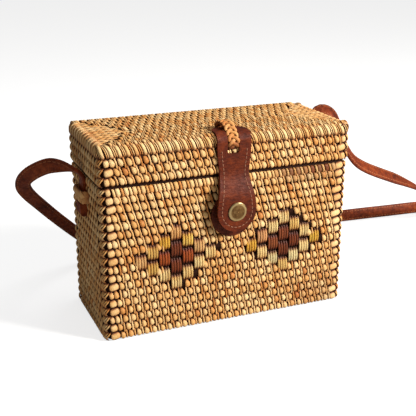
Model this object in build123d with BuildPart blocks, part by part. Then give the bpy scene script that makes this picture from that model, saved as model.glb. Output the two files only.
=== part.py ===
from build123d import *
import math
import os

os.makedirs("parts", exist_ok=True)

# A small rattan box bag, in millimetres. X runs along the front, -Y is the front and Z is up.
# The origin is at the middle of the underside of the box.

# Box and lid
body_length = 199.5
body_depth = 84.0
body_height = 119.6
body_rows = 18
lid_extra_length = 1.5
lid_extra_depth = 1.0
lid_height = 28.9
lid_rows = 4
seam_gap = 0.4
wall = 5.5
floor_thickness = 4.6
lid_top_thickness = 5.0
corner_radius = 6.5
inner_corner_radius = 1.0
row_bulge = 1.1
foot_bulge = 0.77
roll_bulge = 0.33
top_rounds = 6
lid_roll_radius = 4.0
foot_radius = 2.2
mitre_inset = 36.0
path_closing_run = 1.0

# Linings
lining_gap = 0.3
lining_thickness = 1.0
lining_below_rim = 5.0

# Hinge rings at the back
hinge_offset = 0.5
hinge_ring_radius = 6.6
hinge_cane_radius = 1.3
hinge_clearance = 0.3
hinge_spacing = 120.0

# Woven flowers on the front
strip_width = 2.1
strip_lift = 0.6
strip_seat = 1.4
strip_gap = 0.06
strips_per_block = 4
block_rows = 1.9
flower_column = 9.2
flower_row = 6.62
flower_drop = 0.2
left_flower_x = -44.0
right_flower_x = 45.5

# Clasp
clasp_x = 1.3
leather = 2.4
tab_waist = 23.6
tab_top_width = 27.0
tab_round_radius = 15.6
tab_clearance = 0.4
tab_shoulder_rise = 20.0
tab_cut_rise = 60.0
tab_lower_start_drop = 13.0
tab_straight_drop = 3.0
tab_ease_radius = 24.0
tab_bend_radius = 6.0
tab_arch_radius = 9.0
slot_width = 9.4
slot_rise = 16.0
slot_offset_x = -0.8
slot_corner_radius = 2.0
bar_width = 3.3
clasp_axis_inset = 14.1
clasp_axis_rise = 1.75
backing_radius = 17.6
backing_thickness = 2.2
backing_gap = 0.1
backing_drop = 4.4
backing_edge_radius = 0.8

# Ring snap
snap_drop = 27.2
cap_radius = 7.3
cap_rise = 1.6
cap_rim = 1.1
cap_bevel = 0.6
post_radius = 1.5
post_clearance = 0.05
socket_radius = 6.0
socket_thickness = 2.0
socket_bore_radius = 3.0
socket_bore_depth = 1.5
socket_edge = 0.5
stud_base_radius = 5.2
stud_base_thickness = 0.7
stud_neck_radius = 2.0
stud_head_radius = 2.5
stud_head_rise = 1.9
stud_swell_from = 0.5
stud_swell_to = 0.75
snap_gap = 0.3
seat_gap = 0.05
rivet_flange_radius = 4.5
rivet_flange_thickness = 0.5

# Plaited cane loop over the clasp bar
braid_width = 8.6
braid_strand_radius = 1.3
braid_strands = 3
braid_clearance = 0.15
braid_lead = 2.0
braid_root_run = 9.0
braid_root_depth = 3.0
braid_rise_run = 5.2
braid_fall_run = 7.0
braid_fall_drop = 0.6
braid_front_gap = 2.9
braid_end_depth = 2.6
braid_bends = (3.4, 4.0, 5.0)

# Plaited side rings and the strap ends that hang in them
side_ring_drop = 15.6
side_ring_strand_radius = 1.9
side_ring_strands = 3
side_ring_pitch = 3.42
side_ring_half_width = 10.6
side_ring_corner = 4.0
strap_width = 12.0
strap_thickness = 3.0
strap_wall_gap = 0.3
strap_ring_gap = 0.4
strap_exit_rise = 9.0
strap_tail_drop = 16.0
strap_fold_height = 10.0
strap_fold_radius = 2.7
strap_lead = 5.0
strap_edge_radius = 0.8

# The shoulder strap's line between its two ends, over the floor behind the box, and the size of
# the box that it is drawn for: half the distance between its ends, the box's depth, their height
route_half_span = 101.55
route_depth = 84.0
route_exit_z = 113.0
route_floor_z = 6.0
strap_route = [
    (-105.5, 1.7, 121.8),
    (-112.5, 5.2, 124.8),
    (-122.0, 10.3, 125.6),
    (-132.0, 15.2, 124.1),
    (-141.0, 22.4, 118.5),
    (-146.5, 33.8, 108.4),
    (-145.5, 47.4, 96.4),
    (-138.0, 61.8, 83.2),
    (-126.5, 77.4, 68.6),
    (-111.5, 91.7, 51.9),
    (-92.0, 103.3, 34.2),
    (-70.0, 112.2, 18.6),
    (-45.0, 118.8, 8.5),
    (-16.0, 116.9, 6.3),
    (14.0, 103.6, 6.5),
    (48.0, 89.8, 6.2),
    (84.0, 88.1, 6.5),
    (116.0, 100.3, 6.2),
    (148.0, 114.0, 6.5),
    (184.0, 119.0, 6.2),
    (224.0, 115.7, 6.5),
    (260.0, 113.3, 6.2),
    (285.0, 111.1, 6.6),
    (300.0, 105.7, 7.4),
    (308.5, 95.7, 9.5),
    (307.0, 84.8, 13.5),
    (294.0, 75.4, 21.0),
    (266.0, 62.5, 37.0),
    (226.0, 46.0, 58.5),
    (188.0, 30.5, 78.5),
    (158.0, 18.6, 95.5),
    (140.0, 12.7, 109.0),
    (131.5, 12.6, 120.5),
    (127.0, 14.2, 131.0),
    (122.6, 15.5, 139.5),
    (117.3, 16.8, 145.0),
    (111.3, 19.8, 146.8),
    (106.6, 20.0, 143.6),
    (104.2, 15.2, 137.2),
    (103.2, 8.0, 128.8),
]
fillet_share = 0.45

# Sizes that follow from the ones above
lid_length = body_length + lid_extra_length
lid_depth = body_depth + lid_extra_depth
body_row = body_height / body_rows
lid_row = lid_height / lid_rows
lid_bottom = body_height + seam_gap
lid_top = lid_bottom + lid_height
front_y = -body_depth / 2
lid_front_y = -lid_depth / 2
hinge_y = lid_depth / 2 + hinge_offset
hinge_z = body_height + seam_gap / 2
flower_height = body_height / 2 - flower_drop
clasp_axis_y = clasp_axis_inset - lid_depth / 2
axis_z = lid_top + clasp_axis_rise
tab_waist_z = lid_bottom
tab_shoulder_z = lid_bottom + tab_shoulder_rise
tab_head_z = lid_bottom + tab_cut_rise
tab_lower_start_z = lid_bottom - tab_lower_start_drop
slot_bottom_z = lid_bottom + slot_rise
snap_z = lid_bottom - snap_drop
side_ring_z = body_height - side_ring_drop
strap_exit_z = side_ring_z + strap_exit_rise
strap_tail_z = side_ring_z - strap_tail_drop
strap_x = body_length / 2 + strap_wall_gap + strap_thickness / 2


def wall_ring(length, depth, profile):
    """Sweep a wall profile, drawn at the middle of the right side, round the box."""
    half_x = length / 2 - row_bulge
    half_y = depth / 2 - row_bulge
    radius = corner_radius - row_bulge
    with BuildPart() as ring:
        with BuildLine() as path:
            FilletPolyline(
                (half_x, 0, 0),
                (half_x, half_y, 0),
                (-half_x, half_y, 0),
                (-half_x, -half_y, 0),
                (half_x, -half_y, 0),
                (half_x, -path_closing_run, 0),
                radius=radius,
            )
            Line((half_x, -path_closing_run, 0), (half_x, 0, 0))
        add(profile)
        sweep(path=path.wires()[0], transition=Transition.RIGHT)
    return ring.part


def body_wall_profile():
    """The body wall in section: one rounded row above another, and a rounded foot."""
    valley = body_length / 2 - row_bulge
    inside = body_length / 2 - wall
    with BuildSketch(Plane.XZ) as profile:
        with BuildLine():
            Line((inside, 0), (valley - foot_radius, 0))
            RadiusArc((valley - foot_radius, 0), (valley, foot_radius), -foot_radius)
            SagittaArc((valley, foot_radius), (valley, body_row), -foot_bulge)
            for row in range(1, body_rows):
                SagittaArc((valley, row * body_row), (valley, (row + 1) * body_row), -row_bulge)
            Line((valley, body_height), (inside, body_height))
            Line((inside, body_height), (inside, 0))
        make_face()
    return profile.sketch


def lid_wall_profile():
    """The lid wall in section: rows, with the uppermost rolled over onto the top."""
    valley = lid_length / 2 - row_bulge
    inside = lid_length / 2 - wall
    crest = lid_length / 2
    top_row = lid_bottom + (lid_rows - 1) * lid_row
    roll_start = lid_top - lid_roll_radius
    with BuildSketch(Plane.XZ) as profile:
        with BuildLine():
            Line((inside, lid_bottom), (valley, lid_bottom))
            for row in range(lid_rows - 1):
                z = lid_bottom + row * lid_row
                SagittaArc((valley, z), (valley, z + lid_row), -row_bulge)
            SagittaArc((valley, top_row), (crest, roll_start), -roll_bulge)
            RadiusArc((crest, roll_start), (crest - lid_roll_radius, lid_top), -lid_roll_radius)
            Line((crest - lid_roll_radius, lid_top), (inside, lid_top))
            Line((inside, lid_top), (inside, lid_bottom))
        make_face()
    return profile.sketch


def ridge_profile(plane, half_span, pitch):
    """The lid's top in section from edge to middle. Parabolic rows meet exactly at the mitres."""
    underside = lid_top - lid_top_thickness
    valley = lid_top - row_bulge
    with BuildSketch(plane) as profile:
        with BuildLine():
            Line((0, underside), (-half_span, underside))
            Line((-half_span, underside), (-half_span, valley))
            for row in range(top_rounds):
                start = -half_span + row * pitch
                peak = (start + pitch / 2, valley + 2 * row_bulge)
                Bezier((start, valley), peak, (start + pitch, valley))
            Line((0, valley), (0, underside))
        make_face()
    return profile.sketch


def mitred_rows(plane, half_span, pitch, run, outline):
    """Rows of one side of the lid's top, cut to the mitre outline."""
    with BuildPart() as rows:
        extrude(ridge_profile(plane, half_span, pitch), amount=run, dir=plane.z_dir, both=True)
        with BuildSketch(Plane.XY.offset(lid_bottom)):
            with BuildLine():
                Polyline(*outline, close=True)
            make_face()
        extrude(amount=lid_height * 2, mode=Mode.INTERSECT)
    return rows.part


def rounded_shell(length, depth, bottom, top, thickness, closed_at_top):
    """A thin open box with rounded corners."""
    with BuildPart() as shell:
        with BuildSketch(Plane.XY.offset(bottom)):
            RectangleRounded(length, depth, inner_corner_radius)
        extrude(amount=top - bottom)
        inner_bottom = bottom if closed_at_top else bottom + thickness
        with BuildSketch(Plane.XY.offset(inner_bottom)):
            Rectangle(length - 2 * thickness, depth - 2 * thickness)
        extrude(amount=top - bottom - thickness, mode=Mode.SUBTRACT)
    return shell.part


def hinge_ring(x, clearance):
    """A round cane ring whose centre line circles the hinge axis."""
    with BuildPart() as ring:
        with BuildSketch(Plane.XY.offset(hinge_z)):
            with Locations((x, hinge_y + hinge_ring_radius)):
                Circle(hinge_cane_radius + clearance)
        revolve(axis=Axis((x, hinge_y, hinge_z), (1, 0, 0)))
    return ring.part


def strand_row(plane, count, pitch, radius, clearance):
    """Round strands lying side by side, seen end on."""
    with BuildSketch(plane) as section:
        for strand in range(count):
            with Locations(((strand - (count - 1) / 2) * pitch, 0)):
                Circle(radius + clearance)
        Rectangle((count - 1) * pitch, radius)
    return section.sketch


def clasp_braid(clearance):
    """The plaited loop: out of the lid's top, over the clasp bar and into the lid's front."""
    x = clasp_x + slot_offset_x
    over = axis_z + bar_width / 2 + braid_strand_radius + braid_lead
    start = (x, clasp_axis_y + braid_root_run, lid_top - braid_root_depth)
    rise = (x, clasp_axis_y + braid_rise_run, over)
    fall = (x, clasp_axis_y - braid_fall_run, over - braid_fall_drop)
    edge = (x, lid_front_y - braid_front_gap, lid_top - braid_root_depth)
    end = (x, lid_front_y + braid_end_depth, slot_bottom_z + braid_end_depth)
    with BuildPart() as braid:
        with BuildLine() as path:
            FilletPolyline(start, rise, fall, edge, end, radius=braid_bends)
        direction = Vector(*rise) - Vector(*start)
        section_plane = Plane(origin=start, x_dir=(1, 0, 0), z_dir=direction)
        pitch = (braid_width - 2 * braid_strand_radius) / (braid_strands - 1)
        add(strand_row(section_plane, braid_strands, pitch, braid_strand_radius, clearance))
        sweep(path=path.wires()[0])
    return braid.part


def side_ring(side, clearance):
    """A plaited loop that leaves the end wall, passes round the strap and returns."""
    face_x = body_length / 2
    reach = face_x + strap_wall_gap + strap_thickness + strap_ring_gap + side_ring_strand_radius
    root = face_x - wall
    half = side_ring_half_width
    with BuildPart() as ring:
        with BuildLine() as path:
            FilletPolyline(
                (side * root, -half, side_ring_z),
                (side * reach, -half, side_ring_z),
                (side * reach, half, side_ring_z),
                (side * root, half, side_ring_z),
                radius=side_ring_corner,
            )
        section_plane = Plane(origin=(side * root, -half, side_ring_z), x_dir=(0, 0, 1), z_dir=(side, 0, 0))
        add(strand_row(section_plane, side_ring_strands, side_ring_pitch, side_ring_strand_radius, clearance))
        sweep(path=path.wires()[0])
    return ring.part


def strip_block(x, z, outward):
    """One block of the flower: cane strips side by side, bulging outward."""
    width = strips_per_block * strip_width
    height = block_rows * flower_row
    seat = front_y + strip_seat
    with BuildPart() as block:
        with BuildSketch(Plane.XY.offset(z - height / 2)):
            with BuildLine():
                left = x - width / 2
                Line((left, seat), (left + width, seat))
                Line((left + width, seat), (left + width, front_y))
                for strip in range(strips_per_block):
                    right = left + width - strip * strip_width
                    SagittaArc((right, front_y), (right - strip_width, front_y), outward)
                Line((left, front_y), (left, seat))
            make_face()
        extrude(amount=height)
    return block.part


# Flower pattern: column and row steps from each flower's middle, with the strip colour
left_flower = {
    "dark": [(0, 1), (0, -1)],
    "red": [(-1, 0), (1, 0)],
    "yellow": [(-1, 2), (1, 2)],
    "pale": [(0, 3), (-2, 1), (2, 1), (-3, 0), (3, 0), (-2, -1), (2, -1), (-1, -2), (1, -2), (0, -3)],
}
right_flower = {
    "dark": [(0, 1), (0, -1), (1, 0), (-1, 0)],
    "red": [],
    "yellow": [(-3, 0), (3, 0)],
    "pale": [(0, 3), (-1, 2), (1, 2), (-2, 1), (2, 1), (-2, -1), (2, -1), (-1, -2), (1, -2), (0, -3)],
}


def flower_places(colour):
    """Middle of every block of one colour."""
    places = []
    for centre_x, flower in ((left_flower_x, left_flower), (right_flower_x, right_flower)):
        for column, row in flower[colour]:
            places.append((centre_x + column * flower_column, flower_height + row * flower_row))
    return places


# Basket body
pocket_width = strips_per_block * strip_width + 2 * strip_gap
pocket_height = block_rows * flower_row + 2 * strip_gap
with BuildPart() as basket_body:
    add(wall_ring(body_length, body_depth, body_wall_profile()))
    with BuildSketch(Plane.XY):
        RectangleRounded(body_length - 2 * wall, body_depth - 2 * wall, inner_corner_radius)
    extrude(amount=floor_thickness)
    for side_x in (-hinge_spacing / 2, hinge_spacing / 2):
        add(hinge_ring(side_x, hinge_clearance), mode=Mode.SUBTRACT)
    for side in (-1, 1):
        add(side_ring(side, seat_gap), mode=Mode.SUBTRACT)
    with BuildSketch(Plane.XZ.offset(-(front_y + strip_seat))):
        for colour in left_flower:
            with Locations(*flower_places(colour)):
                Rectangle(pocket_width, pocket_height)
    extrude(amount=2 * strip_seat, mode=Mode.SUBTRACT)
basket_body.part.label = "basket_body"

# Lid
half_length = lid_length / 2 - wall
half_depth = lid_depth / 2 - wall
apex_x = lid_length / 2 - mitre_inset
corner_front = (lid_length / 2, -lid_depth / 2)
front_outline = [
    (-corner_front[0], corner_front[1]),
    corner_front,
    (apex_x, 0),
    (-apex_x, 0),
]
left_outline = [
    (-lid_length / 2, -lid_depth / 2),
    (-apex_x, 0),
    (-lid_length / 2, lid_depth / 2),
]
front_rows = mitred_rows(Plane.YZ, lid_depth / 2, lid_depth / 2 / top_rounds, lid_length, front_outline)
left_plane = Plane(origin=(-apex_x, 0, 0), x_dir=(1, 0, 0), z_dir=(0, -1, 0))
left_rows = mitred_rows(left_plane, mitre_inset, mitre_inset / top_rounds, lid_depth, left_outline)

with BuildPart() as lid_top_rows:
    add(front_rows)
    add(left_rows)
    mirror(front_rows, about=Plane.XZ)
    mirror(left_rows, about=Plane.YZ)
    with BuildSketch(Plane.XY.offset(lid_bottom)):
        RectangleRounded(2 * half_length, 2 * half_depth, inner_corner_radius)
    extrude(amount=lid_height * 2, mode=Mode.INTERSECT)

with BuildPart() as lid_basket:
    add(wall_ring(lid_length, lid_depth, lid_wall_profile()))
    add(lid_top_rows.part)
    for side_x in (-hinge_spacing / 2, hinge_spacing / 2):
        add(hinge_ring(side_x, hinge_clearance), mode=Mode.SUBTRACT)
    add(clasp_braid(braid_clearance), mode=Mode.SUBTRACT)
lid_basket.part.label = "lid_basket"

# Linings
lining_length = body_length - 2 * wall - 2 * lining_gap
lining_depth = body_depth - 2 * wall - 2 * lining_gap
body_lining = rounded_shell(
    lining_length,
    lining_depth,
    floor_thickness + lining_gap,
    body_height - lining_below_rim,
    lining_thickness,
    False,
)
body_lining.label = "body_lining"

lid_lining = rounded_shell(
    lid_length - 2 * wall - 2 * lining_gap,
    lid_depth - 2 * wall - 2 * lining_gap,
    lid_bottom + lining_below_rim,
    lid_top - lid_top_thickness - lining_gap,
    lining_thickness,
    True,
)
lid_lining.label = "lid_lining"

# Hinge rings
hinge_ring_left = hinge_ring(-hinge_spacing / 2, 0)
hinge_ring_left.label = "hinge_ring_left"
hinge_ring_right = hinge_ring(hinge_spacing / 2, 0)
hinge_ring_right.label = "hinge_ring_right"

# Side rings
side_ring_left = side_ring(-1, 0)
side_ring_left.label = "side_ring_left"
side_ring_right = side_ring(1, 0)
side_ring_right.label = "side_ring_right"

# Flower strips
flowers = {}
for colour in left_flower:
    with BuildPart() as strips:
        for block_x, block_z in flower_places(colour):
            add(strip_block(block_x, block_z, strip_lift))
    strips.part.label = f"flower_{colour}_strips"
    flowers[colour] = strips.part

# Clasp braid
clasp_braid_loop = clasp_braid(0)
clasp_braid_loop.label = "clasp_braid_loop"

# Snap heights, worked out from the front wall outward
backing_back = front_y - backing_gap
backing_front = backing_back - backing_thickness
stud_front = backing_front - seat_gap - stud_base_thickness
stud_tip = stud_front - stud_head_rise
socket_back = stud_tip - snap_gap
socket_front = socket_back - socket_thickness
tab_back = socket_front - seat_gap
tab_front = tab_back - leather
cap_back = tab_front - seat_gap


def turned(centre_z, outline):
    """Revolve an outline of (radius, y) points about the snap's own axis."""
    with BuildPart() as piece:
        with BuildSketch(Plane.XY.offset(centre_z)):
            with BuildLine():
                Polyline(*[(clasp_x + radius, y) for radius, y in outline], close=True)
            make_face()
        revolve(axis=Axis((clasp_x, 0, centre_z), (0, 1, 0)))
    return piece.part


# Leather backing on the body
with BuildPart() as clasp_backing:
    with BuildSketch(Plane.XZ.offset(-backing_back)):
        with Locations((clasp_x, snap_z - backing_drop)):
            Circle(backing_radius)
    extrude(amount=backing_thickness)
    with BuildSketch(Plane.XZ.offset(-backing_back)):
        with Locations((clasp_x, snap_z)):
            Circle(rivet_flange_radius + post_clearance)
    extrude(amount=rivet_flange_thickness + seat_gap, mode=Mode.SUBTRACT)
    with BuildSketch(Plane.XZ.offset(-backing_back)):
        with Locations((clasp_x, snap_z)):
            Circle(post_radius + post_clearance)
    extrude(amount=backing_thickness, mode=Mode.SUBTRACT)
    fillet(clasp_backing.faces().sort_by(Axis.Y)[0].outer_wire().edges(), radius=backing_edge_radius)
clasp_backing.part.label = "clasp_backing"

# Rivet behind the backing, with its shank up into the stud
shank_end = stud_front - stud_head_rise / 2
snap_rivet = turned(
    snap_z,
    [
        (0, backing_back),
        (rivet_flange_radius, backing_back),
        (rivet_flange_radius, backing_back - rivet_flange_thickness),
        (post_radius, backing_back - rivet_flange_thickness),
        (post_radius, shank_end),
        (0, shank_end),
    ],
)
snap_rivet.label = "snap_rivet"

stud_bore = post_radius + post_clearance
snap_stud = turned(
    snap_z,
    [
        (stud_bore, backing_front - seat_gap),
        (stud_base_radius, backing_front - seat_gap),
        (stud_base_radius, stud_front),
        (stud_neck_radius, stud_front),
        (stud_head_radius, stud_front - stud_head_rise * stud_swell_from),
        (stud_head_radius, stud_front - stud_head_rise * stud_swell_to),
        (stud_neck_radius, stud_tip),
        (0, stud_tip),
        (0, shank_end - seat_gap),
        (stud_bore, shank_end - seat_gap),
    ],
)
snap_stud.label = "snap_stud"

# Socket on the inner face of the tab
socket_bore_end = socket_back - socket_bore_depth
snap_socket = turned(
    snap_z,
    [
        (socket_bore_radius, socket_back),
        (socket_radius - socket_edge, socket_back),
        (socket_radius, socket_back - socket_edge),
        (socket_radius, socket_front),
        (stud_bore, socket_front),
        (stud_bore, socket_bore_end),
        (socket_bore_radius, socket_bore_end),
    ],
)
snap_socket.label = "snap_socket"

# Domed cap with its post through the tab
dome_half = cap_radius - cap_bevel
dome_base = cap_back - cap_rim
dome_rise = cap_rise - cap_rim
dome_radius = (dome_half**2 + dome_rise**2) / (2 * dome_rise)
with BuildPart() as snap_cap:
    with BuildSketch(Plane.XY.offset(snap_z)):
        with BuildLine():
            Polyline(
                (clasp_x, dome_base - dome_rise),
                (clasp_x, socket_bore_end),
                (clasp_x + post_radius, socket_bore_end),
                (clasp_x + post_radius, cap_back),
                (clasp_x + dome_half, cap_back),
                (clasp_x + cap_radius, cap_back - cap_bevel),
                (clasp_x + dome_half, dome_base),
            )
            RadiusArc((clasp_x + dome_half, dome_base), (clasp_x, dome_base - dome_rise), dome_radius)
        make_face()
    revolve(axis=Axis((clasp_x, 0, snap_z), (0, 1, 0)))
snap_cap.part.label = "snap_cap"

# Leather tab: a bent strip, cut to its outline from the front and from above
tab_upper_y = lid_front_y - tab_clearance - leather / 2
tab_lower_y = (tab_back + tab_front) / 2
tab_end_z = snap_z - tab_round_radius
tab_end_y = clasp_axis_y + bar_width / 2
slot_back_y = clasp_axis_y - bar_width / 2
tab_plane = Plane(origin=(clasp_x, 0, 0), x_dir=(1, 0, 0), z_dir=(0, -1, 0))

with BuildPart() as tab_outline:
    with BuildSketch(tab_plane):
        with BuildLine():
            head = (tab_top_width / 2, tab_shoulder_z)
            hip = (tab_round_radius, snap_z)
            Line((0, tab_head_z), (tab_top_width / 2, tab_head_z))
            Line((tab_top_width / 2, tab_head_z), head)
            Spline(head, (tab_waist / 2, tab_waist_z), hip, tangents=[(0, -1), (0, -1)])
            RadiusArc(hip, (0, tab_end_z), tab_round_radius)
            mirror(about=Plane.YZ)
        make_face()
    extrude(amount=lid_depth)

with BuildPart() as tab_plan:
    with BuildSketch(Plane(origin=(clasp_x, tab_end_y, 0))) as plan:
        Rectangle(tab_top_width, lid_depth, align=(Align.CENTER, Align.MAX))
        fillet(plan.vertices().group_by(Axis.Y)[-1], radius=tab_arch_radius)
        with Locations((0, lid_front_y + lid_roll_radius - tab_end_y)):
            Rectangle(4 * tab_round_radius, lid_depth, align=(Align.CENTER, Align.MAX))
    extrude(amount=tab_head_z)

with BuildPart() as clasp_tab:
    with BuildSketch(Plane.YZ):
        with BuildLine():
            FilletPolyline(
                (tab_end_y, axis_z),
                (tab_upper_y, axis_z),
                (tab_upper_y, lid_bottom - tab_straight_drop),
                (tab_lower_y, tab_lower_start_z),
                (tab_lower_y, tab_end_z - leather),
                radius=(tab_bend_radius, tab_ease_radius, tab_ease_radius),
            )
            offset(amount=leather / 2, kind=Kind.INTERSECTION, side=Side.BOTH)
        make_face()
    extrude(amount=2 * tab_round_radius, both=True)
    add(tab_outline.part, mode=Mode.INTERSECT)
    add(tab_plan.part, mode=Mode.INTERSECT)
    with BuildSketch(tab_plane.offset(-slot_back_y)) as slot:
        with Locations((slot_offset_x, slot_bottom_z)):
            Rectangle(slot_width, lid_height, align=(Align.CENTER, Align.MIN))
        fillet(slot.vertices().group_by(Axis.Y)[0], radius=slot_corner_radius)
    extrude(amount=lid_depth, mode=Mode.SUBTRACT)
    with BuildSketch(tab_plane.offset(-tab_back - leather)):
        with Locations((0, snap_z)):
            Circle(post_radius + post_clearance)
    extrude(amount=leather * 3, mode=Mode.SUBTRACT)
clasp_tab.part.label = "clasp_tab"


def strap_end(side):
    """The strap's end: down through the side ring, folded outward and sewn to itself."""
    inner = body_length / 2 + strap_wall_gap
    middle = inner + strap_thickness
    outer = middle + strap_thickness
    fold_top = strap_tail_z + strap_fold_height
    with BuildPart() as end:
        with BuildSketch(Plane.XZ) as section:
            with BuildLine():
                Polyline(
                    (side * inner, strap_tail_z),
                    (side * inner, strap_exit_z),
                    (side * middle, strap_exit_z),
                    (side * middle, fold_top),
                    (side * outer, fold_top),
                    (side * outer, strap_tail_z),
                    close=True,
                )
            make_face()
            fillet(section.vertices().group_by(Axis.Y)[0], radius=strap_fold_radius)
        extrude(amount=strap_width / 2, both=True)
    return end.part


def fitted_route():
    """The strap's route, stretched with the box and kept on the floor."""
    along = strap_x / route_half_span
    across = body_depth / route_depth
    upward = (strap_exit_z - route_floor_z) / (route_exit_z - route_floor_z)
    return [(x * along, y * across, route_floor_z + (z - route_floor_z) * upward) for x, y, z in strap_route]


def bend_radii(points):
    """The largest arc that each corner's two runs allow."""
    radii = []
    for before, corner, after in zip(points, points[1:], points[2:]):
        run_in = Vector(*corner) - Vector(*before)
        run_out = Vector(*after) - Vector(*corner)
        turn = math.radians(run_in.get_angle(run_out))
        radii.append(fillet_share * min(run_in.length, run_out.length) / math.tan(turn / 2))
    return radii


# Strap ends and shoulder strap
strap_end_left = strap_end(-1)
strap_end_left.label = "strap_end_left"
strap_end_right = strap_end(1)
strap_end_right.label = "strap_end_right"

strap_points = [
    (-strap_x, 0.0, strap_exit_z),
    (-strap_x, 0.0, strap_exit_z + strap_lead),
    *fitted_route(),
    (strap_x, 0.0, strap_exit_z + strap_lead),
    (strap_x, 0.0, strap_exit_z),
]
strap_radii = bend_radii(strap_points)
print("strap bend radii", [round(radius) for radius in strap_radii])
with BuildPart() as shoulder_strap:
    with BuildLine() as strap_line:
        FilletPolyline(*strap_points, radius=strap_radii)
    with BuildSketch(Plane(origin=strap_points[0], x_dir=(0, 1, 0), z_dir=(0, 0, 1))):
        RectangleRounded(strap_width, strap_thickness, strap_edge_radius)
    sweep(path=strap_line.wires()[0])
shoulder_strap.part.label = "shoulder_strap"
strap_length = strap_line.wires()[0].length
print("strap length", round(strap_length))

if __name__ == "__main__":
    pieces = [
        basket_body.part,
        lid_basket.part,
        body_lining,
        lid_lining,
        hinge_ring_left,
        hinge_ring_right,
        side_ring_left,
        side_ring_right,
        clasp_braid_loop,
        clasp_backing.part,
        snap_rivet,
        snap_stud,
        snap_socket,
        snap_cap.part,
        clasp_tab.part,
        strap_end_left,
        strap_end_right,
        shoulder_strap.part,
    ] + list(flowers.values())
    for piece in pieces:
        print(piece.label, piece.is_valid, round(piece.volume, 1), piece.bounding_box())
        export_step(piece, f"parts/{piece.label}.step")
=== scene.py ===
import math
import random

import bpy
import numpy as np
from mathutils import Matrix, Vector


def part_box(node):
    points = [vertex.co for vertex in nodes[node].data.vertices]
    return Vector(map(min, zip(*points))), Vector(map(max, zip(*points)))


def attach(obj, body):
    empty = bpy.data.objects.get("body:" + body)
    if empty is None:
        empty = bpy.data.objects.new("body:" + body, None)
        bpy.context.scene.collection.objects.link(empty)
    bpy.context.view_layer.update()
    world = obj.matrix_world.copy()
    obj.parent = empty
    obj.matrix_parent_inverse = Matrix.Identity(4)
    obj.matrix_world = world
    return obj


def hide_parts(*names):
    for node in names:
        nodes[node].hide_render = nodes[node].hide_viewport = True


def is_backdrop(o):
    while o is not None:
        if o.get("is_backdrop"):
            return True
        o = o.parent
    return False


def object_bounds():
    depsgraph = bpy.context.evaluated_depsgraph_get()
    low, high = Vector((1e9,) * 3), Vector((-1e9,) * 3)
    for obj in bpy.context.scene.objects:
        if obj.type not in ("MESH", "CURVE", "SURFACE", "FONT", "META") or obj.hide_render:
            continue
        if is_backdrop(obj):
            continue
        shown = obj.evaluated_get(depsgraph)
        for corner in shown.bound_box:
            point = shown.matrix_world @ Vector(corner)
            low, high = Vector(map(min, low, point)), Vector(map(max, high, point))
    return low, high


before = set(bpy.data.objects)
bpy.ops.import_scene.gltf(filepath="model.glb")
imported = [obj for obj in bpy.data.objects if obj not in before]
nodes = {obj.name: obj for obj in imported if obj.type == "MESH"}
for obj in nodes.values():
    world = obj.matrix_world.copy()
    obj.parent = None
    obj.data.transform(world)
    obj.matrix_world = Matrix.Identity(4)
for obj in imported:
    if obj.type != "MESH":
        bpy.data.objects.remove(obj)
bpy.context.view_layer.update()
scene = bpy.context.scene
rng = random.Random(7)
MM = 0.001
FLOOR_GAP = 0.0002  # the lowest that a strand may lie, in metres

# Camera: the photograph's viewing angle, from a fit to the box's corners
CAMERA_PLACE = (-0.2380, -0.5675, 0.2936)
AZIMUTH, ELEVATION, ROLL = -22.687, 19.209, 0.168
SENSOR, LENS = 36.0, 70.26
camera_data = bpy.data.cameras.new("camera")
camera_data.sensor_width = SENSOR
camera_data.lens = LENS
camera_data.clip_start = 0.01
camera_data.clip_end = 20.0
camera = bpy.data.objects.new("camera", camera_data)
scene.collection.objects.link(camera)
scene.camera = camera
azimuth, elevation, roll = (math.radians(a) for a in (AZIMUTH, ELEVATION, ROLL))
back = Vector(
    (
        math.sin(azimuth) * math.cos(elevation),
        -math.cos(azimuth) * math.cos(elevation),
        math.sin(elevation),
    )
)
right = (-back).cross(Vector((0, 0, 1))).normalized()
up = right.cross(-back)
right, up = (
    right * math.cos(roll) + up * math.sin(roll),
    up * math.cos(roll) - right * math.sin(roll),
)
camera.matrix_world = Matrix.Translation(CAMERA_PLACE) @ Matrix(
    (
        (right.x, up.x, back.x, 0),
        (right.y, up.y, back.y, 0),
        (right.z, up.z, back.z, 0),
        (0, 0, 0, 1),
    )
)

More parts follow.
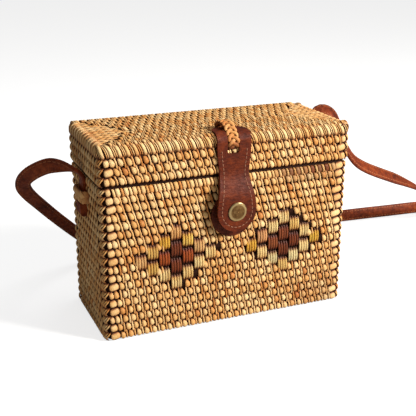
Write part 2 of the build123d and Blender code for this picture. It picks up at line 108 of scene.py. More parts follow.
# Shoulder strap's line: the route of the part's own strap, in metres
strap_route = [
    (-0.1055, 0.0017, 0.1218),
    (-0.1125, 0.0052, 0.1248),
    (-0.122, 0.0103, 0.1256),
    (-0.1275, 0.0152, 0.1232),
    (-0.135, 0.0224, 0.1178),
    (-0.1395, 0.0338, 0.1095),
    (-0.1385, 0.0474, 0.0995),
    (-0.1315, 0.0618, 0.0875),
    (-0.1205, 0.0774, 0.0735),
    (-0.1065, 0.0917, 0.0565),
    (-0.089, 0.1033, 0.0375),
    (-0.07, 0.1122, 0.0186),
    (-0.045, 0.1188, 0.0085),
    (-0.016, 0.1169, 0.0063),
    (0.014, 0.1036, 0.0065),
    (0.048, 0.0898, 0.0062),
    (0.084, 0.0881, 0.0065),
    (0.116, 0.1003, 0.0062),
    (0.148, 0.114, 0.0065),
    (0.184, 0.119, 0.0062),
    (0.224, 0.1157, 0.0065),
    (0.26, 0.1133, 0.0062),
    (0.285, 0.1111, 0.0066),
    (0.3, 0.1057, 0.0074),
    (0.3085, 0.0957, 0.0095),
    (0.307, 0.0848, 0.0135),
    (0.294, 0.0754, 0.021),
    (0.266, 0.0625, 0.0395),
    (0.226, 0.046, 0.0605),
    (0.188, 0.0305, 0.077),
    (0.16, 0.0186, 0.0895),
    (0.142, 0.0127, 0.1),
    (0.133, 0.0126, 0.1125),
    (0.1275, 0.0142, 0.126),
    (0.1226, 0.0155, 0.1395),
    (0.1173, 0.0168, 0.145),
    (0.1113, 0.0198, 0.1468),
    (0.1066, 0.02, 0.1436),
    (0.1042, 0.0152, 0.1372),
    (0.1032, 0.008, 0.1288),
]


def route_line(points):
    """Points along the smooth line that a route's points control."""
    curve = bpy.data.curves.new("route", "CURVE")
    curve.dimensions = "3D"
    curve.resolution_u = 10
    spline = curve.splines.new("NURBS")
    spline.points.add(len(points) - 1)
    for control, point in zip(spline.points, points):
        control.co = (*point, 1)
    spline.order_u = 3
    spline.use_endpoint_u = True
    holder = bpy.data.objects.new("route", curve)
    scene.collection.objects.link(holder)
    bpy.context.view_layer.update()
    mesh = bpy.data.meshes.new_from_object(holder)
    line = np.array([v.co for v in mesh.vertices], float) / MM
    bpy.data.objects.remove(holder)
    bpy.data.curves.remove(curve)
    bpy.data.meshes.remove(mesh)
    return line


def run_of(line):
    """How far along a line each of its points is."""
    return np.concatenate([[0], np.cumsum(np.linalg.norm(np.diff(line, axis=0), axis=1))])


def resample(line, step):
    """The same line with points at even steps."""
    seg = np.linalg.norm(np.diff(line, axis=0), axis=1)
    keep = np.concatenate([[True], seg > 1e-6])
    line = line[keep]
    run = run_of(line)
    count = max(2, int(round(run[-1] / step)) + 1)
    at = np.linspace(0, run[-1], count)
    return np.stack([np.interp(at, run, line[:, i]) for i in range(3)], 1)


def unit(v):
    return v / np.maximum(np.linalg.norm(v, axis=-1, keepdims=True), 1e-9)


def eased(value, low, high):
    """0 below low, 1 above high, and smooth between."""
    t = np.clip((np.asarray(value, float) - low) / (high - low), 0, 1)
    return t * t * (3 - 2 * t)


def jitter(amount):
    """A random step of up to this amount to either side."""
    return rng.uniform(-amount, amount)


def colour(r, g, b):
    """A linear colour from the 0 to 255 numbers of a picture."""
    return tuple(
        (c / 255 / 12.92) if c / 255 <= 0.04045 else ((c / 255 + 0.055) / 1.055) ** 2.4
        for c in (r, g, b)
    )


class Weave:
    """Collects strands, in millimetres, and makes one mesh of them.

    Each point carries its strand's tint, and across (-1 to 1), along (mm) and nearness to an end (0 to 1).
    """

    def __init__(self):
        self.points, self.faces, self.tints, self.coords = [], [], [], []
        self.count = 0

    def grid(self, points, tint, coords, closed=False):
        """points is (n, m, 3): a skin over n rows of m points."""
        n, m = points.shape[:2]
        index = np.arange(n * m).reshape(n, m) + self.count
        if closed:
            index = np.concatenate([index, index[:, :1]], 1)
        a, b = index[:-1, :-1], index[:-1, 1:]
        c, d = index[1:, 1:], index[1:, :-1]
        self.faces.append(np.stack([a, b, c, d], -1).reshape(-1, 4))
        self.points.append(points.reshape(-1, 3))
        self.tints.append(np.broadcast_to(np.asarray(tint, float), (n * m, 3)))
        self.coords.append(coords.reshape(-1, 3))
        self.count += n * m

    def strand(self, path, normal, half, height, tint, cross=7, spread=108.0):
        """A half-round strand laid along a path, with its rounded side along the normal."""
        along = unit(np.gradient(path, axis=0))
        side = unit(np.cross(along, normal))
        normal = unit(np.cross(side, along))
        angle = np.radians(np.linspace(-spread, spread, cross))
        low = math.cos(math.radians(spread))
        across = np.sin(angle) / np.sin(angle).max()
        rise = (np.cos(angle) - low) / (1 - low)
        half = np.broadcast_to(half, len(path))
        height = np.broadcast_to(height, len(path))
        points = (
            path[:, None]
            + side[:, None] * (half[:, None] * across)[..., None]
            + normal[:, None] * (height[:, None] * rise)[..., None]
        )
        run = run_of(path)
        t = run / run[-1]
        mark = rng.random()
        coords = np.stack(
            [
                np.broadcast_to(np.linspace(-1, 1, cross), (len(path), cross)),
                np.broadcast_to((run + 97 * mark)[:, None], (len(path), cross)),
                np.broadcast_to(np.abs(2 * t - 1)[:, None], (len(path), cross)),
            ],
            -1,
        )
        self.grid(points, tint, coords)

    def build(self, name, material, body, slot, replaces=()):
        points = np.concatenate(self.points) * MM
        points[:, 2] = np.maximum(points[:, 2], FLOOR_GAP)
        faces = np.concatenate(self.faces)
        mesh = bpy.data.meshes.new(name)
        mesh.vertices.add(len(points))
        mesh.vertices.foreach_set("co", points.astype(np.float32).ravel())
        mesh.loops.add(4 * len(faces))
        mesh.loops.foreach_set("vertex_index", faces.astype(np.int32).ravel())
        mesh.polygons.add(len(faces))
        mesh.polygons.foreach_set("loop_start", np.arange(len(faces), dtype=np.int32) * 4)
        mesh.polygons.foreach_set("use_smooth", np.ones(len(faces), bool))
        mesh.update(calc_edges=True)
        tints = np.concatenate(self.tints)
        tint = mesh.attributes.new("tint", "FLOAT_COLOR", "POINT")
        tint.data.foreach_set(
            "color", np.concatenate([tints, np.ones((len(tints), 1))], 1).astype(np.float32).ravel()
        )
        strand = mesh.attributes.new("strand", "FLOAT_VECTOR", "POINT")
        strand.data.foreach_set("vector", np.concatenate(self.coords).astype(np.float32).ravel())
        mesh.materials.append(material)
        piece = bpy.data.objects.new(name, mesh)
        scene.collection.objects.link(piece)
        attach(piece, body)
        if replaces:
            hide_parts(*replaces)
        return piece


class Nodes:
    """Short ways to wire a material."""

    def __init__(self, name):
        self.material = bpy.data.materials.new(name)
        self.material.use_nodes = True
        self.tree = self.material.node_tree
        self.shader = self.tree.nodes["Principled BSDF"]

    def link(self, value, socket):
        if isinstance(value, bpy.types.NodeSocket):
            self.tree.links.new(value, socket)
        else:
            socket.default_value = value

    def node(self, kind, **inputs):
        made = self.tree.nodes.new(kind)
        for key, value in inputs.items():
            self.link(value, made.inputs[key.replace("_", " ")])
        return made

    def math(self, operation, a, b=0.0, clamp=False):
        made = self.tree.nodes.new("ShaderNodeMath")
        made.operation = operation
        made.use_clamp = clamp
        self.link(a, made.inputs[0])
        self.link(b, made.inputs[1])
        return made.outputs[0]

    def mix(self, factor, a, b, blend="MIX"):
        made = self.tree.nodes.new("ShaderNodeMix")
        made.data_type = "RGBA"
        made.blend_type = blend
        self.link(factor, made.inputs[0])
        for value, socket in ((a, made.inputs[6]), (b, made.inputs[7])):
            self.link((*value, 1) if isinstance(value, tuple) and len(value) == 3 else value, socket)
        return made.outputs[2]

    def ramp(self, factor, stops):
        made = self.tree.nodes.new("ShaderNodeValToRGB")
        elements = made.color_ramp.elements
        while len(elements) < len(stops):
            elements.new(0.5)
        for element, (place, shade) in zip(elements, stops):
            element.position = place
            element.color = (*shade, 1) if isinstance(shade, tuple) else (shade, shade, shade, 1)
        self.link(factor, made.inputs[0])
        return made.outputs[0]

    def noise(self, vector, scale, detail=3.0, roughness=0.55):
        settings = {"Vector": vector, "Scale": scale, "Detail": detail, "Roughness": roughness}
        return self.node("ShaderNodeTexNoise", **settings).outputs["Fac"]

    def attribute(self, name):
        made = self.tree.nodes.new("ShaderNodeAttribute")
        made.attribute_name = name
        return made

    def place(self):
        return self.tree.nodes.new("ShaderNodeTexCoord").outputs["Object"]

    def bump(self, height, strength, distance, under=None):
        made = self.tree.nodes.new("ShaderNodeBump")
        made.inputs["Strength"].default_value = strength
        made.inputs["Distance"].default_value = distance
        self.tree.links.new(height, made.inputs["Height"])
        if under is not None:
            self.tree.links.new(under, made.inputs["Normal"])
        return made.outputs[0]


def cane_material(name, roughness=0.5, grain=0.3, wear_and_shade=0.95):
    """Split cane: streaks along each strand and soft satin, with painted shade, amber and dark brown
    towards each strand's edges and where it tucks under, and amber on one side; the last argument sets its
    strength.
    """
    n = Nodes(name)
    tint = n.attribute("tint").outputs["Color"]
    strand = n.attribute("strand").outputs["Vector"]
    parts = n.node("ShaderNodeSeparateXYZ", Vector=strand)
    across, along, end = parts.outputs
    fibre_place = n.node(
        "ShaderNodeCombineXYZ",
        X=n.math("MULTIPLY", across, 2.6),
        Y=n.math("MULTIPLY", along, 0.16),
        Z=n.math("MULTIPLY", along, 0.011),
    ).outputs[0]
    fibre = n.noise(fibre_place, 3.2, 4.0, 0.65)
    streak = n.ramp(fibre, [(0.3, 0.62), (0.5, 0.93), (0.7, 1.08)])
    shade = n.mix(grain * 2.2, tint, streak, "MULTIPLY")
    patches = n.noise(n.place(), 55.0, 3.0, 0.6)
    stops = [(0.38, (0.86, 0.66, 0.42)), (0.55, (1.0, 1.0, 1.0)), (0.72, (1.05, 1.02, 0.95))]
    warm = n.ramp(patches, stops)
    shade = n.mix(0.7, shade, warm, "MULTIPLY")
    # Painted shade: towards each strand's edges (across near -1 or 1) and its tucked ends the colour goes
    # amber, then dark brown.
    edge = n.math("POWER", n.math("ABSOLUTE", across), 2.0)
    tuck = n.math("POWER", end, 2.6)
    crevice_shade = n.math("MAXIMUM", edge, n.math("MULTIPLY", tuck, 1.1), True)
    # More painted shade: amber on the side of the strand where across is below zero.
    left = n.math("MULTIPLY", n.math("SUBTRACT", 0.0, across), 0.55, True)
    amber_shade = n.math("MAXIMUM", n.math("MULTIPLY", crevice_shade, 1.5), left, True)
    amber_shade_colour = n.mix(0.75, shade, colour(206, 118, 44), "MULTIPLY")
    shade = n.mix(n.math("MULTIPLY", amber_shade, wear_and_shade), shade, amber_shade_colour)
    brown = n.ramp(crevice_shade, [(0.25, 0.0), (0.5, 0.5), (0.75, 0.95), (1.0, 1.0)])
    shade = n.mix(n.math("MULTIPLY", brown, wear_and_shade), shade, colour(72, 28, 6))
    n.link(shade, n.shader.inputs["Base Color"])
    satin = n.ramp(fibre, [(0.3, roughness + 0.18), (0.7, roughness - 0.08)])
    n.link(satin, n.shader.inputs["Roughness"])
    n.shader.inputs["Specular IOR Level"].default_value = 0.3
    n.link(n.bump(fibre, 0.5, 0.0005), n.shader.inputs["Normal"])
    return n.material


def core_material():
    """The coils under the wrapping: grass in near-black brown, painted shade that shows in the gaps between
    the strands.
    """
    n = Nodes("rattan_core")
    place = n.place()
    upright = n.node("ShaderNodeMapping", Vector=place, Scale=(1.0, 1.0, 3.0)).outputs[0]
    grass = n.noise(upright, 420.0, 4.0, 0.6)
    stops = [(0.3, colour(20, 7, 2)), (0.55, colour(40, 15, 4)), (0.75, colour(66, 29, 9))]
    n.link(n.ramp(grass, stops), n.shader.inputs["Base Color"])
    n.link(n.ramp(grass, [(0.3, 0.85), (0.7, 0.65)]), n.shader.inputs["Roughness"])
    n.shader.inputs["Specular IOR Level"].default_value = 0.1
    n.link(n.bump(grass, 0.6, 0.0006), n.shader.inputs["Normal"])
    return n.material


def leather_material(name, dark, mid, light, crease=0.5, stretch=(1.0, 1.0, 2.6)):
    """Leather with fine pebbles, soft creases and a satin finish."""
    n = Nodes(name)
    place = n.place()
    creased = n.node("ShaderNodeMapping", Vector=place, Scale=stretch).outputs[0]
    fold = n.noise(creased, 260.0, 5.0, 0.62)
    pebble = n.node("ShaderNodeTexVoronoi", Vector=place, Scale=1150.0).outputs["Distance"]
    cloud = n.noise(place, 40.0, 3.0, 0.6)
    tone = n.math("ADD", n.math("MULTIPLY", fold, 0.55), n.math("MULTIPLY", cloud, 0.45))
    n.link(n.ramp(tone, [(0.36, dark), (0.5, mid), (0.64, light)]), n.shader.inputs["Base Color"])
    n.link(n.ramp(fold, [(0.35, 0.62), (0.65, 0.46)]), n.shader.inputs["Roughness"])
    n.shader.inputs["Specular IOR Level"].default_value = 0.16
    first = n.bump(fold, crease, 0.0007)
    n.link(n.bump(pebble, 0.3, 0.00025, first), n.shader.inputs["Normal"])
    return n.material


def thread_material(name, shade):
    """Sewing thread with a fine twist."""
    n = Nodes(name)
    place = n.place()
    twist = n.noise(place, 1800.0, 2.0, 0.5)
    dark = tuple(c * 0.45 for c in shade)
    n.link(n.mix(n.math("MULTIPLY", twist, 0.5), shade, dark), n.shader.inputs["Base Color"])
    n.shader.inputs["Roughness"].default_value = 0.75
    n.link(n.bump(twist, 0.5, 0.0002), n.shader.inputs["Normal"])
    return n.material


def brass_material():
    """Antique brass, rubbed bright round the cap's rim."""
    n = Nodes("brass")
    place = n.place()
    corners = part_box("snap_cap")
    centre = [(a + b) / 2 for a, b in zip(*corners)]
    flat = n.node("ShaderNodeVectorMath", Vector=place)
    flat.operation = "SUBTRACT"
    flat.inputs[1].default_value = centre
    level = n.node("ShaderNodeVectorMath", Vector=flat.outputs[0])
    level.operation = "MULTIPLY"
    level.inputs[1].default_value = (1, 0, 1)
    size = n.tree.nodes.new("ShaderNodeVectorMath")
    size.operation = "LENGTH"
    n.tree.links.new(level.outputs[0], size.inputs[0])
    centimetres = n.math("MULTIPLY", size.outputs["Value"], 100.0)
    rim = n.ramp(centimetres, [(0.5, 0.0), (0.6, 0.75), (0.7, 1.0)])
    blotch = n.noise(place, 420.0, 5.0, 0.65)
    fine = n.noise(place, 2600.0, 2.0, 0.5)
    stops = [(0.32, colour(92, 64, 36)), (0.5, colour(128, 94, 56)), (0.68, colour(156, 122, 78))]
    wear_and_shade = n.ramp(blotch, stops)
    n.link(n.mix(rim, wear_and_shade, colour(206, 178, 126)), n.shader.inputs["Base Color"])
    n.shader.inputs["Metallic"].default_value = 1.0
    n.link(n.ramp(blotch, [(0.3, 0.42), (0.7, 0.24)]), n.shader.inputs["Roughness"])
    n.link(n.bump(fine, 0.15, 0.0002, n.bump(blotch, 0.15, 0.0003)), n.shader.inputs["Normal"])
    return n.material


def cloth_material():
    """Plain brown woven cloth."""
    n = Nodes("lining_cloth")
    place = n.place()
    weave = []
    for direction in ("X", "Y", "Z"):
        wave = n.node("ShaderNodeTexWave", Vector=place, Scale=300.0, Distortion=0.6)
        wave.bands_direction = direction
        weave.append(wave.outputs["Fac"])
    threads = n.math("MULTIPLY", n.math("ADD", weave[0], weave[1]), n.math("ADD", weave[2], 0.4))
    cloud = n.noise(place, 30.0, 3.0, 0.6)
    dyed = n.ramp(cloud, [(0.35, colour(150, 110, 70)), (0.65, colour(178, 136, 92))])
    shade = n.mix(n.math("MULTIPLY", threads, 0.3), dyed, colour(96, 66, 38))
    n.link(shade, n.shader.inputs["Base Color"])
    n.shader.inputs["Roughness"].default_value = 0.9
    n.link(n.bump(threads, 0.35, 0.0003), n.shader.inputs["Normal"])
    return n.material


cane = cane_material("cane")
flower_cane = cane_material("flower_cane", roughness=0.46, grain=0.4, wear_and_shade=0.9)
core = core_material()
clasp_leather = leather_material("clasp_leather", colour(56, 16, 3), colour(88, 30, 7), colour(118, 48, 14))
strap_leather = leather_material(
    "strap_leather", colour(74, 24, 7), colour(116, 45, 15), colour(150, 68, 27), 0.35, (1.0, 1.0, 1.0)
)
thread = thread_material("clasp_thread", colour(152, 100, 72))
strap_thread = thread_material("strap_thread", colour(168, 96, 52))
brass = brass_material()
cloth = cloth_material()


def dress(name, material):
    """Gives a solid of the part its material."""
    piece = nodes[name]
    piece.data.materials.clear()
    piece.data.materials.append(material)


dress("basket_body", core)
dress("lid_basket", core)
dress("body_lining", cloth)
dress("lid_lining", cloth)
dress("clasp_tab", clasp_leather)
dress("clasp_backing", clasp_leather)
for name in ("strap_end_left", "strap_end_right"):
    dress(name, strap_leather)
for name in ("snap_rivet", "snap_stud", "snap_socket", "snap_cap"):
    dress(name, brass)

# Sizes of the woven box, in millimetres
BODY_LENGTH, BODY_DEPTH, BODY_TOP, BODY_ROWS = 199.5, 84.0, 119.6, 18
LID_LENGTH, LID_DEPTH, LID_TOP = 201.0, 85.0, 148.9
LID_FIRST, LID_ROW, LID_ROWS = 120.3, 6.8, 3
HALF_LENGTH, HALF_DEPTH = LID_LENGTH / 2, LID_DEPTH / 2
CORNER = 3.6
BULGE = 1.1  # height of a coil over its valleys
PITCH = 6.2  # from one stitch to the next
BODY_DRIFT, LID_DRIFT = 2.05, 3.1  # step aside from one row to the next

# A stitch's bead and its thin strands, for a row of this height
STITCH_ROW = 6.64
BEAD_TOP, BEAD_LENGTH, BEAD_HALF, BEAD_HEIGHT = 3.5, 6.7, 1.55, 1.1
BEAD_START, BEAD_SWING = -1.75, 3.0
THIN_SIDE, THIN_SPACING, THIN_HALF, THIN_HEIGHT = 3.1, 1.3, 0.46, 0.75
THIN_START, THIN_SWING = -1.9, 2.5
THIN_TOP, THIN_FOOT, THIN_FIRST_FOOT = 4.9, -5.0, -2.8

# Thin strands over a corner: the step from the corner, the lean and the lift of each
CORNER_STRANDS = ((1.2, 1.7, 0.35), (2.6, 1.9, 0.3), (4.0, 2.0, 0.2), (5.4, 1.9, 0.1), (3.4, -2.4, 0.0))
CORNER_REACH = 1.4  # how far the corner's beads go past the wall's flat part


class Wall:
    """Maps a place round the box, its height and its distance out of the wall to a point."""

    def __init__(self, length, depth):
        self.half_x, self.half_y = length / 2 - BULGE, depth / 2 - BULGE
        self.flat_x, self.flat_y = self.half_x - CORNER, self.half_y - CORNER
        x, y, arc = self.flat_x, self.flat_y, CORNER * math.pi / 2
        self.parts = [x, arc, 2 * y, arc, 2 * x, arc, 2 * y, arc, x]
        self.ends = np.cumsum(self.parts)
        self.total = self.ends[-1]

    def at(self, u):
        """x, y and the way out of the wall, at a distance round it from the front's middle."""
        u = np.mod(np.asarray(u, float), self.total)
        part = np.searchsorted(self.ends, u, side="right").clip(0, 8)
        start = np.concatenate([[0], self.ends])[part]
        d = u - start
        fx, fy = self.flat_x, self.flat_y
        turn = {1: (fx, -fy, -90), 3: (fx, fy, 0), 5: (-fx, fy, 90), 7: (-fx, -fy, 180)}
        x, y, nx, ny = (np.zeros_like(d) for _ in range(4))
        for index, (px, py, dx, dy, mx, my) in {
            0: (0, -self.half_y, 1, 0, 0, -1),
            2: (self.half_x, -fy, 0, 1, 1, 0),
            4: (fx, self.half_y, -1, 0, 0, 1),
            6: (-self.half_x, fy, 0, -1, -1, 0),
            8: (-fx, -self.half_y, 1, 0, 0, -1),
        }.items():
            on = part == index
            x[on], y[on] = px + dx * d[on], py + dy * d[on]
            nx[on], ny[on] = mx, my
        for index, (cx, cy, first) in turn.items():
            on = part == index
            angle = np.radians(first) + d[on] / CORNER
            nx[on], ny[on] = np.cos(angle), np.sin(angle)
            x[on], y[on] = cx + CORNER * nx[on], cy + CORNER * ny[on]
        return x, y, nx, ny

    def place(self, u, z, out):
        x, y, nx, ny = self.at(u)
        path = np.stack([x + nx * out, y + ny * out, z], -1)
        return path, np.stack([nx, ny, np.zeros_like(nx)], -1)


class Deck:
    """The lid's top: u runs along one edge, and the depth is the way in from that edge."""

    def __init__(self, side):
        self.front, self.right = {"front": (1, 0), "back": (-1, 0), "right": (0, 1), "left": (0, -1)}[side]

    def place(self, u, depth, out):
        u, depth = np.broadcast_to(u, np.shape(depth)).astype(float), np.asarray(depth, float)
        x = self.front * u + self.right * (HALF_LENGTH - depth)
        y = self.right * u - self.front * (HALF_DEPTH - depth)
        path = np.stack([x, y, LID_TOP - BULGE - 0.1 + np.broadcast_to(out, x.shape)], -1)
        return path, np.tile([0, 0, 1.0], (len(x), 1))


def coil(dv, row):
    """How far a coil's surface stands out of the valley, at a height from its middle."""
    return BULGE * np.clip(1 - (2 * dv / row) ** 2, 0, 1)


PALE = colour(252, 220, 160)
HONEY = colour(244, 196, 126)
GOLD = colour(228, 168, 94)
ORANGE = colour(206, 134, 66)
BROWN = colour(122, 62, 30)


def blend_tint(a, b, t):
    return tuple(x * (1 - t) + y * t for x, y in zip(a, b))


def cane_tint(narrow=False, stain_and_shade=0.0):
    """A strand's own colour: mostly pale honey, some golden, a few orange."""
    r = rng.random()
    if r < 0.7:
        base = blend_tint(HONEY, PALE, rng.random())
    elif r < (0.9 if narrow else 0.95):
        base = blend_tint(GOLD, HONEY, rng.random())
    else:
        base = blend_tint(ORANGE, GOLD, rng.random())
    # Blend towards brown: a real stain on the body's front and rim, and painted shade on the lid's top.
    if stain_and_shade > 0:
        base = blend_tint(base, BROWN, min(0.95, stain_and_shade * rng.uniform(0.75, 1.15)))
    light = rng.uniform(0.9, 1.06)
    return tuple(c * light for c in base)


def stain_at(x, z):
    """Brown staining on the right half of the body's front: strong at the rim, faint at the foot."""
    rim = eased(x, 30, 50) * (1 - eased(x, 84, 92)) * eased(z, 106, 114) * (z < LID_FIRST)
    foot = eased(x, 30, 80) * (1 - eased(z, 8, 34)) * 0.35
    return float(max(rim * 0.9, foot))


def bead_cell(
    weave, wall, u, z, row, stain_and_shade=0.0, fine=1, relief=1.0, lean=1.0, reach=(THIN_TOP, THIN_FOOT)
):
    """One stitch: a leaf-shaped bead that leans over the coil, and thin strands at its right side."""
    scale = row / STITCH_ROW
    size = rng.uniform(0.88, 1.1)
    t = np.linspace(0, 1, 11)
    dv = (BEAD_TOP - BEAD_LENGTH * t) * scale
    du = lean * (BEAD_START + (BEAD_SWING + jitter(0.35)) * np.sin(t * math.pi / 2))
    swell = np.sin(math.pi * np.clip(t, 0.03, 0.97) ** 1.15)
    out = relief * coil(dv, row) - 0.4 + 0.5 * swell
    path, normal = wall.place(u - 0.1 + du + jitter(0.2), z + dv + jitter(0.2), out)
    half = 0.4 + (BEAD_HALF - 0.55 * (fine - 1)) * size * swell**0.8
    weave.strand(path, normal, half, 0.15 + BEAD_HEIGHT * swell**0.6, cane_tint(False, stain_and_shade))
    for index in range(fine):
        t = np.linspace(0, 1, 12)
        dv = (reach[0] + (reach[1] - reach[0]) * t) * scale
        side = THIN_SIDE + 0.1 * index + THIN_SPACING * (index - (fine - 1) / 2)
        du = side + lean * (THIN_SWING * np.sin(t * math.pi / 2) + THIN_START) + jitter(0.25)
        over = 1 - eased(np.abs(2 * t - 1), 0.72, 1.0)
        out = np.maximum(relief * coil(dv, row), 0.7) + 0.35 - 1.3 * (1 - over)
        path, normal = wall.place(u + du, z + dv, out)
        half = 0.2 + (THIN_HALF - 0.16 * (fine - 1)) * over
        weave.strand(path, normal, half, 0.2 + THIN_HEIGHT * over, cane_tint(True, stain_and_shade * 0.5), cross=6)


def corner_bead(weave, wall, low, high, z, row):
    """The wide flat bead between a corner and the first stitch of a row."""
    t = np.linspace(0, 1, 9)
    dv = (2.9 - 5.7 * t) * row / STITCH_ROW
    swell = np.sin(math.pi * np.clip(t, 0.03, 0.97))
    path, normal = wall.place((low + high) / 2 + 0.6 * (2 * t - 1), z + dv, coil(dv, row) - 0.1)
    half = (0.35 + 0.62 * swell**0.45) * ((high - low) / 2)
    tint = blend_tint(cane_tint(False), PALE, 0.6)
    weave.strand(path, normal, half, 0.15 + 1.0 * swell**0.6, tint, cross=9)


def corner_strands(weave, wall, u, z, row, side):
    """The thin strands that cross over a corner."""
    for step, lean, lift in CORNER_STRANDS:
        t = np.linspace(0, 1, 9)
        dv = (3.8 - 7.5 * t) * row / STITCH_ROW
        du = side * (step + lean * (t - 0.5) * 2 + 0.4 * np.sin(math.pi * t)) + jitter(0.2)
        swell = np.sin(math.pi * np.clip(t, 0.05, 0.95))
        out = np.maximum(coil(dv, row), 0.5) + lift - 0.7 * (1 - swell**0.4)
        path, normal = wall.place(u + du, z + dv, out)
        half, height = 0.3 + 0.36 * swell**0.4, 0.25 + 0.6 * swell**0.5
        weave.strand(path, normal, half, height, cane_tint(True), cross=5)


body_wall = Wall(BODY_LENGTH, BODY_DEPTH)
lid_wall = Wall(LID_LENGTH, LID_DEPTH)

# Flowers: column and row steps of each block from its flower's middle, with the strips' colour
FLOWER_Z = 59.6
COLUMN, ROW = 9.2, 6.62
TAN, YELLOW, LIGHT = colour(214, 168, 108), colour(222, 178, 66), colour(236, 208, 142)
PINKISH, CREAM = colour(222, 164, 108), colour(216, 200, 146)
DARK, REDDISH = colour(112, 50, 14), colour(158, 74, 22)
flowers = [
    (-44.0, "flower_pale_strips", {
        (0, 3): TAN, (-2, 1): colour(222, 182, 100), (2, 1): TAN, (-3, 0): TAN, (3, 0): LIGHT,
        (-2, -1): colour(220, 180, 96), (2, -1): LIGHT, (-1, -2): LIGHT, (1, -2): LIGHT, (0, -3): LIGHT,
    }),
    (-44.0, "flower_yellow_strips", {(-1, 2): YELLOW, (1, 2): colour(226, 190, 92)}),
    (-44.0, "flower_dark_strips", {(0, 1): DARK, (0, -1): DARK}),
    (-44.0, "flower_red_strips", {(-1, 0): REDDISH, (1, 0): REDDISH}),
    (45.5, "flower_pale_strips", {
        (0, 3): LIGHT, (-1, 2): LIGHT, (1, 2): colour(232, 198, 120), (-2, 1): PINKISH, (2, 1): LIGHT,
        (-2, -1): LIGHT, (2, -1): LIGHT, (-1, -2): CREAM, (1, -2): CREAM, (0, -3): colour(228, 188, 110),
    }),
    (45.5, "flower_yellow_strips", {(-3, 0): YELLOW, (3, 0): YELLOW}),
    (45.5, "flower_dark_strips", {
        (0, 1): colour(132, 68, 30), (0, -1): DARK, (-1, 0): colour(138, 72, 32), (1, 0): DARK,
    }),
]
blocks = [
    (centre + step[0] * COLUMN, FLOWER_Z + step[1] * ROW, tint, node)
    for centre, node, places in flowers
    for step, tint in places.items()
]


def under_flower(x, z):
    """Whether a stitch at this place would lie under a flower's block."""
    return any(abs(x - bx) < 4.4 and abs(z - bz) < 4.9 for bx, bz, _, _ in blocks)


def weave_rows(weaves, wall, bottom, row, rows, drift, first):
    """Fills the wall's rows with stitches. weaves is (front, right, back, left)."""
    for index in range(rows):
        z = bottom + (index + 0.5) * row
        shift = first - drift * index
        lean = 1.0 if bottom > 1 else 0.35 + 0.65 * float(eased(z, 45, 100))
        reach = (THIN_TOP, THIN_FIRST_FOOT if index == 0 else THIN_FOOT)
        for face in range(4):
            long_wall = face in (0, 2)
            if long_wall:
                centre = 0.0 if face == 0 else (wall.ends[3] + wall.ends[4]) / 2
                low, high = centre - wall.flat_x + 3.6, centre + wall.flat_x - 6.0
            else:
                start = wall.ends[2 * face - 1]
                low, high = start + 2.6, start + wall.parts[2 * face] - 3.4
            u = low + (shift - low) % PITCH
            first_u = u
            while u < high:
                x = float(wall.at(u)[0])
                if not (face == 0 and under_flower(x, z)):
                    stain_and_shade = stain_at(x, z) if face == 0 else 0.0
                    bead_cell(weaves[face], wall, u, z, row, stain_and_shade, lean=lean, reach=reach)
                u += PITCH
            if long_wall:
                left = centre - wall.flat_x - CORNER_REACH
                right = centre + wall.flat_x + CORNER_REACH
                corner_bead(weaves[face], wall, left, first_u - 2.0, z, row)
                corner_bead(weaves[face], wall, u - PITCH + 4.1, right, z, row)
                corner_strands(weaves[face], wall, left, z, row, -1)
                corner_strands(weaves[face], wall, right, z, row, 1)


def rim_row(weave, wall, bottom, top, low, high, stain_and_shade=False):
    """The rim: narrow and wide strands by turns that run up the last row and over the edge."""
    count = int((high - low) / PITCH)
    edge = top - 1.0
    shoulder = edge - 2.2
    for index in range(2 * count):
        wide = index % 2
        u = low + (index // 2 + 0.5 + (0.22 if wide else -0.28)) * (high - low) / count
        rise = np.linspace(bottom - 0.9, shoulder, 7)
        turn = np.radians(np.linspace(12, 90, 5))
        z = np.concatenate([rise, shoulder + 2.0 * np.sin(turn), [edge - 0.2, edge - 0.3]])
        up_row = np.clip((rise - bottom + 0.9) / (top - bottom), 0.02, 0.85)
        bulge = 0.1 + 1.3 * np.sin(math.pi * up_row) ** 0.7
        if not wide:
            bulge = bulge + 0.35
        out = np.concatenate([bulge, bulge[-1] - 2.0 + 2.0 * np.cos(turn), [-2.6, -4.4]])
        out[0] = -0.5
        tilt = np.concatenate([np.zeros(7), turn, [math.pi / 2, math.pi / 2]])
        along = u + 0.9 - 1.8 * (z - bottom) / (top - bottom) + jitter(0.15)
        path, flat = wall.place(along, z, out)
        normal = flat * np.cos(tilt)[:, None] + np.array([0, 0, 1.0]) * np.sin(tilt)[:, None]
        swell = np.concatenate([[0.55, 0.9], np.ones(12)])
        height = (0.15 + 0.8 * (1 - eased(tilt, 0.5, 1.4))) * swell
        shade = stain_at(float(wall.at(u)[0]), 116) * (1.0 if wide else 0.25) if stain_and_shade else 0.0
        half = (1.65 if wide else 0.95) * swell
        weave.strand(path, normal, half, height, cane_tint(not wide, shade), cross=6)


body_weaves = [Weave() for _ in range(4)]
body_front, body_right, body_back, body_left = body_weaves
row_height = BODY_TOP / BODY_ROWS
weave_rows(body_weaves, body_wall, 0.0, row_height, BODY_ROWS - 1, BODY_DRIFT, 0.0)
flat_x, ends = body_wall.flat_x, body_wall.ends
for weave, low, high in (
    (body_front, -flat_x + 3.0, flat_x - 5.6),
    (body_right, flat_x + 4.0, ends[2] + 4.5),
    (body_back, ends[2] + 4.5, ends[5] - 4.5),
    (body_left, ends[5] - 4.5, body_wall.total - flat_x - 4.0),
):
    rim_row(weave, body_wall, BODY_TOP - row_height, BODY_TOP, low, high, weave is body_front)

